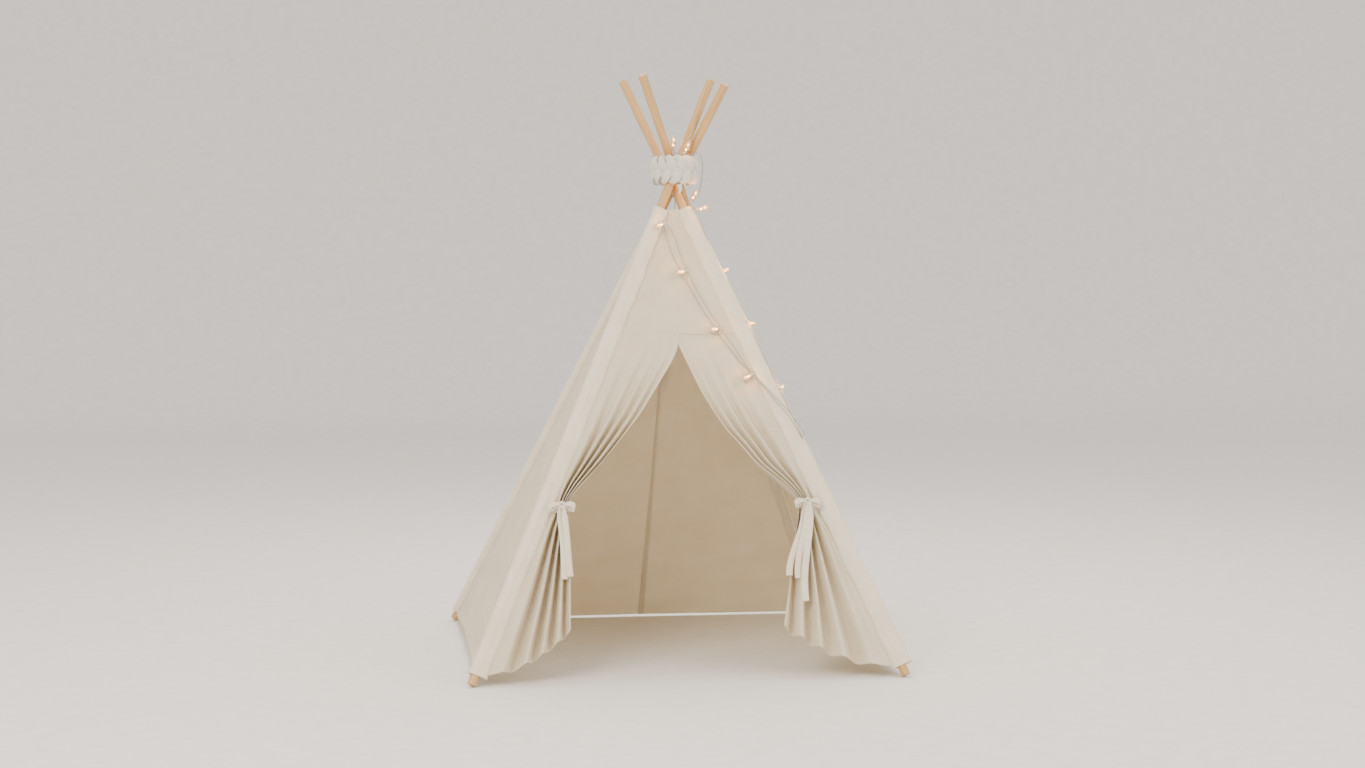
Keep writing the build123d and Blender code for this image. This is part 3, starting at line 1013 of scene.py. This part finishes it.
@dataclass
class Flap(Part):
    """A door flap: hung from the door seam, gathered into its tie, and spread again down to its hem."""

    side: str
    corner: Corner
    stations: tuple[tuple[float, float, float], ...]  # height at the pole, height and X at the free edge
    folds: float = 4.3
    seed: int = 1
    lift: float = 0.0
    rows: int = 320
    cols: int = 240
    thickness: float = 0.0010
    edge: float = 0.024
    bunch: float = 0.034
    turned_hem: float = 0.012
    room: float = 0.024  # the highest a fold may stand
    room_lost: float = 0.010  # how much lower it is inside the tie

    def cut_area(self) -> float:
        """The flap's area before it was gathered: half of the wall, from the sleeve's seam to the middle.

        Returns:
            Square metres, between the door seam and the hem.
        """
        height = np.linspace(self.stations[-1][0], self.stations[0][0], 200)
        half = FRONT.width(height) / 2 - self.edge
        step = np.linalg.norm(np.diff(FRONT.point(0.5, height), axis=0), axis=1)
        return float(((half[1:] + half[:-1]) / 2 * step).sum())

    def build(self) -> list[bpy.types.Object]:
        """Builds the flap in gathered folds.

        Each row runs from the sleeve's seam to the free edge. The cloth is wider than the row, so it
        stands in and out in folds. Their height is what a zigzag of the same count needs to take up
        the cloth's whole width, with less room where the tie holds them. The folds are closer together
        towards the free edge.

        Returns:
            The flap.
        """
        table = np.array(self.stations)
        v = np.linspace(0, 1, self.rows)
        knots = np.linspace(0, 1, len(table))
        fine = np.linspace(0, 1, self.rows * 2)
        kernel = np.hanning(41)
        kernel /= kernel.sum()
        columns = []
        for k in range(3):
            line = np.interp(fine, knots, table[:, k])
            padded = np.concatenate([2 * line[0] - line[20:0:-1], line, 2 * line[-1] - line[-2:-22:-1]])
            columns.append(np.interp(v, fine, np.convolve(padded, kernel, "valid")))
        pole_height, free_height, free_x = columns
        sign = -1.0 if self.side == "left" else 1.0
        gather = np.exp(-(((pole_height - TIE_HEIGHT) / 0.045) ** 2))
        inset = self.edge + (self.bunch - self.edge) * gather
        pole_x = self.corner.at(pole_height)[:, 0] - sign * inset
        u = np.linspace(0, 1, self.cols)[None, :]
        x = pole_x[:, None] + (free_x - pole_x)[:, None] * u
        rise = np.where(v[:, None] > 0.6, u**2, u)
        height = pole_height[:, None] + (free_height - pole_height)[:, None] * rise
        shown = np.abs(free_x - pole_x)
        cut = np.minimum(np.abs(0.012 - pole_x), 0.60)
        swell = shown / (4 * self.folds) * np.sqrt(np.maximum((cut / shown) ** 2 - 1, 0.0))
        swell = np.minimum(swell, self.room - self.room_lost * gather)[:, None]
        vv = np.repeat(v[:, None], self.cols, 1)
        uu = np.repeat(u, self.rows, 0)
        drift = 0.9 * lattice_noise(uu, vv, (3, 5), self.seed) * (1 - gather[:, None] * 0.6)
        phase = 2 * math.pi * self.folds * u**1.7 + drift
        envelope = np.minimum(u / 0.25, 1) ** 1.2 * (0.45 + 0.55 * smooth((v[:, None] - 0.05) / 0.35))
        depth = swell * np.sin(phase) * envelope
        depth += 0.25 * swell * np.sin(2.3 * phase + 1.0) * envelope * (0.25 + 0.75 * gather[:, None])
        depth += 0.0025 * cloth_wrinkles(uu, vv, self.seed + 5) * envelope
        depth += self.lift * np.clip(1 - v[:, None] * 6, 0, 1)
        from_edge = (1 - u) * shown[:, None]
        depth += HEM_STEP * (1 - smooth((from_edge - self.turned_hem) / 0.002)) * (1 - gather[:, None])
        out = FRONT.outwards()
        a, b = FRONT.start.at(height), FRONT.end.at(height)
        y = a[..., 1] + (b - a)[..., 1] * (x - a[..., 0]) / (b - a)[..., 0]
        points = np.stack([x, y, height], 2) + depth[..., None] * out
        thing = cloth(f"door_flap_{self.side}_cloth", points, self.thickness)
        self.materials.put(thing, CANVAS)
        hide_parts(f"door_flap_{self.side}")
        FRONT_RIDE.carry(thing)
        self.cut_area()
        return [thing]


@dataclass
class Tie(Part):
    """A cotton ribbon: a band round the bunched flap, and a bow with a knot, two loops and tails."""

    side: str
    corner: Corner
    tails: tuple[tuple[float, float, float], ...]  # start, end and drop from the knot, in millimetres
    ribbon: float = 0.020
    bunch_width: float = 0.040
    bunch_reach: float = 0.034
    keep: float = 0.5
    band_reach: tuple[float, float] = (0.0242, 0.0212)  # from the bunch's middle, along X and Y

    def middle(self) -> np.ndarray:
        """The middle of the bunched flap.

        Returns:
            A point.
        """
        sign = -1.0 if self.side == "left" else 1.0
        x = self.corner.at(TIE_HEIGHT)[0] - sign * (self.bunch_reach + self.bunch_width / 2)
        return np.array([x, FRONT.front_y(x, TIE_HEIGHT), TIE_HEIGHT])

    def band(self) -> np.ndarray:
        """The band: a rounded rectangle round the bunch, as wide as the ribbon, a little waisted.

        Returns:
            Its middle surface, rows up the ribbon and columns round the bunch.
        """
        angle = np.linspace(0, 2 * math.pi, 96)
        up = np.linspace(-0.5, 0.5, 9)
        turn, rise = np.meshgrid(angle, up, indexing="xy")
        square = (np.abs(np.cos(turn)) ** 4 + np.abs(np.sin(turn)) ** 4) ** -0.25
        pinch = 1 - 0.05 * np.cos(math.pi * rise) + 0.012 * np.sin(7 * turn)
        x = self.band_reach[0] * square * np.cos(turn) * pinch
        y = self.band_reach[1] * square * np.sin(turn) * pinch
        z = rise * self.ribbon + 0.0015 * np.sin(turn)
        return self.middle() + np.stack([x, y, z], 2)

    def strip(self, path: np.ndarray, facing: np.ndarray, width: np.ndarray) -> np.ndarray:
        """A ribbon along a path.

        Args:
            path: N by 3.
            facing: the direction that the ribbon's face looks.
            width: its width at each point.

        Returns:
            Its middle surface.
        """
        side, _ = frames_along(path, facing, False)
        across = np.linspace(-0.5, 0.5, 7)[None, :, None]
        cup = (0.0010 * (1 - 4 * across**2)) * facing
        return path[:, None] + side[:, None] * across * width[:, None, None] + cup

    def build(self) -> list[bpy.types.Object]:
        """Builds the band, the knot, the loops and the tails.

        Returns:
            The ribbon pieces.
        """
        out = FRONT.outwards()
        right = np.array([1.0, 0.0, 0.0])
        up = np.cross(out, right)
        up = up if up[2] > 0 else -up
        knot = self.middle() + out * (0.021 + 0.0015 + 0.006)
        made = [cloth(f"tie_{self.side}_band_ribbon", self.band(), 0.0012)]
        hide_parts(f"tie_{self.side}_band")
        t = np.linspace(0, 1, 48)
        for index, way in enumerate((-1.0, 1.0)):
            reach = 0.036 * np.sin(math.pi * t) ** 0.8
            sag = -0.010 * np.sin(math.pi * t) ** 2 + 0.004 * np.sin(2 * math.pi * t)
            depth = 0.0055 * np.sin(2 * math.pi * t) + 0.002
            path = knot + np.outer(way * reach, right) + np.outer(sag, up) + np.outer(depth, out)
            width = self.ribbon * (0.35 + 0.6 * np.sin(math.pi * t) ** 0.7)
            half = np.linspace(-0.5, 0.5, 7)[None, :, None]
            lean = unit(up + way * 0.25 * right)
            points = path[:, None] + half * width[:, None, None] * lean
            made.append(cloth(f"tie_{self.side}_loop_{index + 1}", points, 0.0010))
        s = np.linspace(0, 1, 60)
        for index, (start, end, drop) in enumerate(self.tails):
            wave = 0.0035 * np.sin(5.0 * s + index) * s
            x = (start + (end - start) * smooth(s)) * MM + wave
            fall = -(0.004 + (drop * MM - 0.004) * s)
            depth = 0.004 * np.sin(3.1 * s + 0.8 * index) + 0.002 * index
            path = knot + np.outer(x, right) + np.outer(fall, up) + np.outer(depth, out)
            width = self.ribbon * (0.45 + 0.5 * smooth(s * 6))
            facing = unit(out + 0.35 * math.sin(1.7 * index + 0.4) * right)
            made.append(cloth(f"tie_{self.side}_tail_{index + 1}", self.strip(path, facing, width), 0.0010))
        a, b = np.meshgrid(np.linspace(0, 2 * math.pi, 40), np.linspace(0, 2 * math.pi, 24), indexing="xy")
        puff = 0.0062 + 0.0004 * np.sin(6 * a)
        ring = 0.0036 * np.cos(b)
        x = (puff + ring) * np.cos(a) * 0.9
        y = (puff + ring) * np.sin(a) * 1.1
        z = 0.0055 * np.sin(b)
        centre = knot + out * 0.003
        grid = centre + x[..., None] * right + y[..., None] * up + z[..., None] * out
        made.append(surface(f"tie_{self.side}_knot", grid[:-1, :-1], wrap_cols=True, wrap_rows=True))
        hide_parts(f"tie_{self.side}_bow")
        ride = FRONT_RIDE.for_small(self.middle(), self.keep)
        for thing in made:
            self.materials.put(thing, RIBBON)
            ride.carry(thing)
        return made


@dataclass
class Collar(Part):
    """The rope collar: one flattened strand that goes three times round the crossing as a plait."""

    centre: tuple[float, float] = (0.030, -0.012)
    middle: float = 1.417
    ring: tuple[float, float] = (0.0595, 0.079)
    swing: float = 0.0275
    weave: float = 0.0080
    turns: int = 3
    crossings: int = 13
    half_width: float = 0.0150
    half_depth: float = 0.0074
    steps: int = 1500

    def build(self) -> list[bpy.types.Object]:
        """Builds the plait and the rope's end.

        The strand's middle follows an oval round the poles. Its height swings as a softened zigzag of
        thirteen thirds of the angle, so that three turns make a closed plait, and it moves in and out
        as a sine of twice that, so that each pass goes over and under the others.

        Returns:
            The plait and the rope end.
        """
        t = np.linspace(0, 2 * math.pi * self.turns, self.steps, endpoint=False)
        phase = t * self.crossings / self.turns
        rise = 0.9 * self.swing * (np.sin(phase) - np.sin(3 * phase) / 9)
        inout = -self.weave * np.sin(2 * phase)
        wide = 1 + 0.02 * (self.swing - rise) / self.swing
        ring_x = (self.ring[0] - 0.004 + inout) * wide
        ring_y = (self.ring[1] + inout) * wide
        path = np.stack(
            [self.centre[0] + ring_x * np.cos(t), self.centre[1] + ring_y * np.sin(t), self.middle + rise], 1
        )
        outward = np.stack([np.cos(t) / self.ring[0], np.sin(t) / self.ring[1], np.zeros_like(t)], 1)
        whole = np.ones(self.steps)

        def yarns(angle: np.ndarray, distance: np.ndarray) -> np.ndarray:
            """Ridges of the twisted yarns: a sine of the angle and of the distance along the strand.

            Args:
                angle: angle round the strand.
                distance: distance along it.

            Returns:
                Height of the ridges.
            """
            return 0.0005 * np.sin(9 * angle + distance * 2 * math.pi / 0.022)

        plait = tube(
            "rope_collar_plait", path, unit(outward), (whole * self.half_width, whole * self.half_depth), 40,
            closed=True, ridges=yarns,
        )
        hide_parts("rope_collar")
        s = np.linspace(0, 1, 60)
        end = np.stack([0.033 + 0.003 * np.sin(3 * s), -0.095 + 0.005 * s, 1.374 - 0.028 * s], 1)
        size = 0.0078 - 0.0055 * s**1.3
        tail = tube("rope_end_tail", end, np.array([0.0, -1.0, 0.0]), (size, size * 0.8), 28, ridges=yarns)
        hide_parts("rope_end")
        for thing in (plait, tail):
            self.materials.put(thing, ROPE)
            CROWN_RIDE.carry(thing)
        return [plait, tail]


def on_front(route: Iterable[tuple[float, float, float]]) -> list[tuple[float, float, float]]:
    """Points that stand a little in front of the front wall.

    Args:
        route: X, height and distance in front, in millimetres.

    Returns:
        Points in millimetres.
    """
    return [(x, FRONT.front_y(x * MM, z * MM) / MM - gap, z) for x, z, gap in route]


@dataclass
class WireRun(Part):
    """One stretch of the light string's wire, with the points it passes, in millimetres."""

    name: str
    route: Sequence[tuple[float, float, float]]
    body: str
    length: float
    squashed: bool = False
    blended: tuple[tuple[float, float, float], tuple[float, float, float]] | None = None
    lay: str = "loose"

    def build(self) -> list[bpy.types.Object]:
        """Builds the wire: a smooth spline that starts and ends at the route's ends.

        Returns:
            The wire.
        """
        line = bpy.data.curves.new(f"{self.name}_line", "CURVE")
        line.dimensions = "3D"
        spline = line.splines.new("NURBS")
        spline.points.add(len(self.route) - 1)
        flat = [value for x, y, z in self.route for value in (x * MM, y * MM, z * MM, 1.0)]
        spline.points.foreach_set("co", flat)
        spline.order_u = 3
        spline.use_endpoint_u = True
        spline.resolution_u = 8
        curve = bpy.data.objects.new(f"{self.name}_cord", line)
        bpy.context.scene.collection.objects.link(curve)
        path = None
        if self.squashed or self.blended:
            bpy.context.view_layer.update()
            graph = bpy.context.evaluated_depsgraph_get()
            bare = bpy.data.meshes.new_from_object(curve.evaluated_get(graph))
            path = np.empty(len(bare.vertices) * 3)
            bare.vertices.foreach_get("co", path)
            path = path.reshape(-1, 3)
            bpy.data.meshes.remove(bare)
            bpy.data.objects.remove(curve)
            bpy.data.curves.remove(line)
            half = np.full(len(path), WIRE_DIAMETER / 2)
            thing = tube(f"{self.name}_cord", path, np.array([0.31, -0.9, 0.3]), (half, half), 12)
        else:
            line.bevel_depth = WIRE_DIAMETER / 2
            line.bevel_resolution = 4
            line.use_fill_caps = True
            thing = curve
        self.materials.put(thing, WIRE_PLASTIC)
        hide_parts(self.name)
        if self.blended:
            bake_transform(thing)
        elif self.squashed:
            FRONT_RIDE.carry(thing)
        else:
            Ride(self.body).carry(thing)
        return [thing]


@dataclass
class Bulbs(Part):
    """The lamps of one stretch: each has a moulded socket, a diode and a clear pointed cover."""

    stretch: str
    route: Sequence[tuple[float, float, float]]
    spots: Sequence[tuple[int, tuple[float, float, float]]]
    ride: Ride
    keep: float = 0.6
    power: float = 0.17

    # Profiles: radius and distance from the wire, in millimetres.
    SOCKET = (
        (0.0, 0.0), (3.6, 0.0), (4.4, 0.8), (4.5, 1.6), (4.5, 8.2), (4.2, 9.0), (3.5, 9.2), (3.5, 12.0),
        (0.0, 12.0),
    )
    DIODE = ((0.0, 12.0), (2.5, 12.0), (2.5, 16.0), (2.2, 17.8), (1.2, 18.8), (0.0, 19.0))
    OUTSIDE = (
        (4.5, 9.0), (5.2, 11.0), (6.4, 14.0), (7.7, 17.5), (8.6, 21.0), (8.9, 24.5), (8.6, 28.5),
        (7.5, 33.0), (5.6, 37.5), (3.4, 41.0), (1.6, 42.6), (0.0, 43.0),
    )
    WALL = 0.9

    def shine(self, middle: np.ndarray, way: Sequence[float], cover: bpy.types.Object) -> None:
        """Adds the warm light that a lamp throws on what is near it.

        Args:
            middle: the lamp's middle.
            way: the way the lamp points.
            cover: its cover, which the light goes with.
        """
        light = bpy.data.lights.new(f"{cover.name}_glow", "POINT")
        light.energy, light.shadow_soft_size = self.power, 0.006
        light.color = linear("#FFA94F")[:3]
        lamp = bpy.data.objects.new(f"{cover.name}_glow", light)
        lamp.location = middle + unit(np.array(way)) * 0.006 + FRONT.outwards() * 0.0125
        bpy.context.scene.collection.objects.link(lamp)
        lamp.parent = cover

    def build(self) -> list[bpy.types.Object]:
        """Builds each lamp where it grows from its wire, halfway along a run of the route.

        Returns:
            Every socket, diode and cover.
        """
        made: dict[str, list[bpy.types.Object]] = {"sockets": [], "leds": [], "covers": []}
        points = np.array(self.route) * MM
        inside = [(max(r - self.WALL, 0.0), z - (self.WALL if r < 3 else 0.0)) for r, z in self.OUTSIDE]
        cover = [*self.OUTSIDE[::-1], *inside]
        for number, (run, way) in enumerate(self.spots, 1):
            base = (points[run] + points[run + 1]) / 2
            middle = base + unit(np.array(way)) * 0.02
            ride = self.ride.for_small(middle, self.keep)
            for kind, profile, finish, slot in (
                ("sockets", self.SOCKET, SOCKET_PLASTIC, "light_socket"),
                ("leds", self.DIODE, LED_RESIN, "led"),
                ("covers", cover, COVER_PLASTIC, "light_cover"),
            ):
                thing = turned(f"light_{self.stretch}_{number}_{kind[:-1]}", base, way, profile, 36)
                self.materials.put(thing, finish)
                ride.carry(thing)
                made[kind].append(thing)
            self.shine(middle, way, made["covers"][-1])
        for kind, things in made.items():
            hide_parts(f"light_{kind}_{self.stretch}")
        return [thing for things in made.values() for thing in things]


@dataclass
class BatteryBox(Part):
    """The battery box and what is in it, shown as they were modelled."""

    def build(self) -> list[bpy.types.Object]:
        """Gives each piece its plastic.

        Returns:
            The box's pieces.
        """
        made = []
        for node, finish, slot in (
            ("battery_box", BOX_PLASTIC, "battery_case"), ("battery_lid", BOX_PLASTIC, "battery_case"),
            ("battery_cells", CELL_JACKET, "cell_jacket"), ("battery_switch", SWITCH_PLASTIC, "switch"),
        ):
            made.append(self.materials.put(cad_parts[node], finish))
        return made


@dataclass
class Studio(Part):
    """The floor, the lights and the camera."""

    floor_size: float = 30.0
    camera_place: tuple[float, float, float] = (-0.8769, -6.9176, 1.1550)
    camera_tilt: float = 86.964
    camera_yaw: float = -7.679
    lens: float = 62.0

    def build(self) -> list[bpy.types.Object]:
        """Makes the floor, which curves up far behind the tent, three soft lights and the camera.

        Returns:
            The floor.
        """
        across, away = np.meshgrid(np.linspace(-1, 1, 40), np.linspace(-1, 1, 80), indexing="xy")
        y = away * self.floor_size / 2 + 1.0
        rise = np.clip(y - 9.0, 0, None)
        points = np.stack([across * self.floor_size / 2, y, 0.35 * rise**2 - 0.0002], 2)
        floor = surface("studio_floor", points, outwards=False)
        self.materials.put(floor, FLOOR)
        world = bpy.data.worlds.new("studio")
        bpy.context.scene.world = world
        world.use_nodes = True
        world.node_tree.nodes["Background"].inputs["Color"].default_value = linear("#F3F1EE")
        world.node_tree.nodes["Background"].inputs["Strength"].default_value = 1.4
        for name, place, size, power in (
            ("key", (-2.6, -4.2, 3.4), 2.5, 225.0), ("fill", (3.4, -3.4, 2.2), 3.0, 85.0),
            ("top", (0.4, 1.6, 4.2), 3.0, 155.0),
        ):
            light = bpy.data.lights.new(name, "AREA")
            light.energy, light.size = power, size
            light.color = linear("#FFF6EA")[:3]
            lamp = bpy.data.objects.new(name, light)
            lamp.location = place
            aim = Vector((0, 0, 0.8)) - Vector(place)
            lamp.rotation_euler = aim.to_track_quat("-Z", "Y").to_euler()
            bpy.context.scene.collection.objects.link(lamp)
        camera = bpy.data.cameras.new("camera")
        camera.lens, camera.sensor_width = self.lens, 36.0
        holder = bpy.data.objects.new("camera", camera)
        holder.location = self.camera_place
        holder.rotation_euler = (math.radians(self.camera_tilt), 0.0, math.radians(self.camera_yaw))
        bpy.context.scene.collection.objects.link(holder)
        bpy.context.scene.camera = holder
        return [floor]


# ------------------------------------------------------------------ the light string's routes
LEAD_ROUTE = (
    (36, 267.6, 844), (36, 254, 877), (42, 228, 928), (51, 204, 980), (46, 181, 1032), (51, 159, 1084),
    (58, 138, 1134), (58, 118, 1182), (52, 101, 1230), (47, 92, 1280), (44, 89, 1320), (46, 93, 1345),
)
CROWN_ROUTE = (
    (46, 93, 1347), (49, 94, 1388), (46, 88, 1430), (42, 66, 1466), (34, 34, 1482), (26, 0, 1474),
    (28, -34, 1468), (40, -64, 1463), (61, -79, 1461), (82, -62, 1465), (92, -32, 1468),
    (110, -6, 1464), (119, 22, 1446), (121, 38, 1414), (116, 36, 1376), (106, 20, 1346), (94, -6, 1334),
    (82, -34, 1326), (64, -58, 1322), (76, -76, 1308), (93, -84, 1292),
)
RIGHT_ROUTE = (
    (94, -85, 1290), (102, -96, 1246), (121, -113, 1194), (140, -134, 1144), (163, -154, 1096),
    (184, -176, 1047), (204, -196, 998), (227, -217, 951), (248, -240, 904), (268, -259, 856),
    (288, -280, 808), (307, -297, 762), (325, -315, 720), (341, -330, 680), (354, -346, 648),
)
FRONT_ROUTE = on_front((
    (352, 646, 20), (341, 664, 30), (326, 694, 32), (305, 724, 30), (284, 748, 26), (266, 770, 20),
    (236, 806, 11), (207, 845, 10), (187, 881, 10), (165, 915, 10), (144, 944, 10), (128, 971, 11),
    (108, 1000, 10), (88, 1038, 10), (70, 1069, 10), (55, 1105, 11), (38, 1140, 10), (25, 1186, 10),
    (13, 1228, 11), (-4, 1256, 19), (-22, 1264, 28),
))
RETURN_ROUTE = on_front((
    (360, 654, 22), (347, 676, 30), (328, 708, 30), (304, 738, 28), (282, 762, 24), (256, 790, 14),
    (225, 822, 6.5), (190, 858, 6.5), (168, 889, 6.5), (146, 917, 6.5), (127, 946, 6), (110, 974, 6),
    (91, 1002, 6), (70, 1042, 6), (54, 1070, 6), (37, 1106, 6.5), (18, 1140, 6), (0, 1186, 6),
    (-12, 1226, 6.5), (-14, 1252, 9),
))
BULB_SPOTS = {
    "crown": ((4, (0.0, -0.2, 1.0)), (7, (0.4, -0.2, 0.9)), (17, (0.5, -0.3, 0.8)), (19, (1.0, -0.1, 0.15))),
    "right": ((3, (0.7, 0.6, 0.1)), (6, (0.8, 0.5, -0.3)), (10, (0.5, 0.85, 0.1))),
    "front": ((6, (-0.8, -0.5, -0.35)), (10, (-0.85, -0.48, -0.2)), (15, (-0.8, -0.5, -0.2)),
              (19, (-0.75, -0.6, -0.3))),
}
LEFT_FLAP = (
    (0.943, 0.943, 0.014), (0.900, 0.900, 0.009), (0.862, 0.862, -0.010), (0.790, 0.790, -0.058),
    (0.715, 0.715, -0.108), (0.645, 0.645, -0.168), (0.579, 0.579, -0.228), (0.520, 0.520, -0.288),
    (0.487, 0.487, -0.318), (0.465, 0.465, -0.323), (0.440, 0.440, -0.323), (0.370, 0.385, -0.323),
    (0.280, 0.320, -0.324), (0.190, 0.255, -0.325), (0.110, 0.195, -0.327), (0.030, 0.137, -0.329),
)
RIGHT_FLAP = (
    (0.943, 0.943, 0.004), (0.905, 0.905, 0.013), (0.840, 0.840, 0.042), (0.777, 0.777, 0.070),
    (0.725, 0.725, 0.099), (0.671, 0.671, 0.133), (0.625, 0.625, 0.173), (0.574, 0.574, 0.214),
    (0.525, 0.525, 0.277), (0.487, 0.487, 0.322), (0.465, 0.465, 0.330), (0.440, 0.440, 0.328),
    (0.370, 0.385, 0.314), (0.280, 0.320, 0.300), (0.190, 0.255, 0.288), (0.110, 0.195, 0.274),
    (0.030, 0.138, 0.262),
)


def main() -> None:
    """Builds the tent in order and logs each piece."""
    logging.basicConfig(level=logging.INFO, format="%(name)s %(message)s")
    made = Materials()
    top_of_crown = ((0.05, 0.09, 1.34), (0.05, 0.10, 1.20))
    top_of_right = ((0.09, -0.08, 1.29), (0.12, -0.11, 1.18))
    parts: list[Part] = [
        Studio(made),
        WireRun(made, "light_wire_lead", LEAD_ROUTE, "back_wall", 0.536, blended=top_of_crown, lay="hanging"),
        WireRun(made, "light_wire_crown", CROWN_ROUTE, "lashing", 0.640),
        WireRun(made, "light_wire_right", RIGHT_ROUTE, "front_right_pole", 0.742, blended=top_of_right,
                lay="hanging"),
        WireRun(made, "light_wire_front", FRONT_ROUTE, "front_wall", 0.772, squashed=True),
        WireRun(made, "light_wire_return", RETURN_ROUTE, "front_wall", 0.752, squashed=True),
        Poles(made),
        BatteryBox(made),
        Sleeve(made, Corner.FRONT_LEFT, FRONT, 1.0, inner_reach=0.031, outer_reach=0.019),
        Sleeve(made, Corner.FRONT_RIGHT, FRONT, -1.0, inner_reach=0.024, outer_reach=0.031),
        Sleeve(made, Corner.BACK_LEFT, BACK, 1.0),
        Sleeve(made, Corner.BACK_RIGHT, BACK, -1.0),
        Panel(made, "left", LEFT, LEFT_RIDE, "panel_left", arch=0.014, seed=11),
        Panel(made, "right", RIGHT, RIGHT_RIDE, "panel_right", seed=21),
        Panel(made, "back_left_half", BACK, BACK_RIDE, "panel_back_left_half", share=(0.0, 0.508), seed=31,
              bottom=0.006, arch=0.0, lap=0.0022),
        Panel(made, "back_right_half", BACK, BACK_RIDE, "panel_back_right_half", share=(0.492, 1.0), seed=31,
              bottom=0.006, arch=0.0),
        Panel(made, "front_top", FRONT, FRONT_RIDE, "panel_front_top", bottom=0.940, edges=(0.024, 0.020),
              slack=0.004, crease=0.002, arch=0.0, seed=51, hem=0.008),
        Flap(made, "left", Corner.FRONT_LEFT, LEFT_FLAP, seed=61, lift=0.003),
        Flap(made, "right", Corner.FRONT_RIGHT, RIGHT_FLAP, seed=71, lift=-0.001),
        Tie(made, "left", Corner.FRONT_LEFT, ((-6, 4, 212), (5, 18, 205))),
        Tie(made, "right", Corner.FRONT_RIGHT, ((-8, -62, 214), (-2, -40, 222), (5, -26, 288))),
        Collar(made),
        Bulbs(made, "crown", CROWN_ROUTE, BULB_SPOTS["crown"], CROWN_RIDE),
        Bulbs(made, "right", RIGHT_ROUTE, BULB_SPOTS["right"], Ride("front_right_pole")),
        Bulbs(made, "front", FRONT_ROUTE, BULB_SPOTS["front"], FRONT_RIDE),
    ]
    for part in parts:
        for thing in part.build():
            log.info("%s: %s", type(part).__name__, thing.name)


if __name__ == "__main__":
    main()
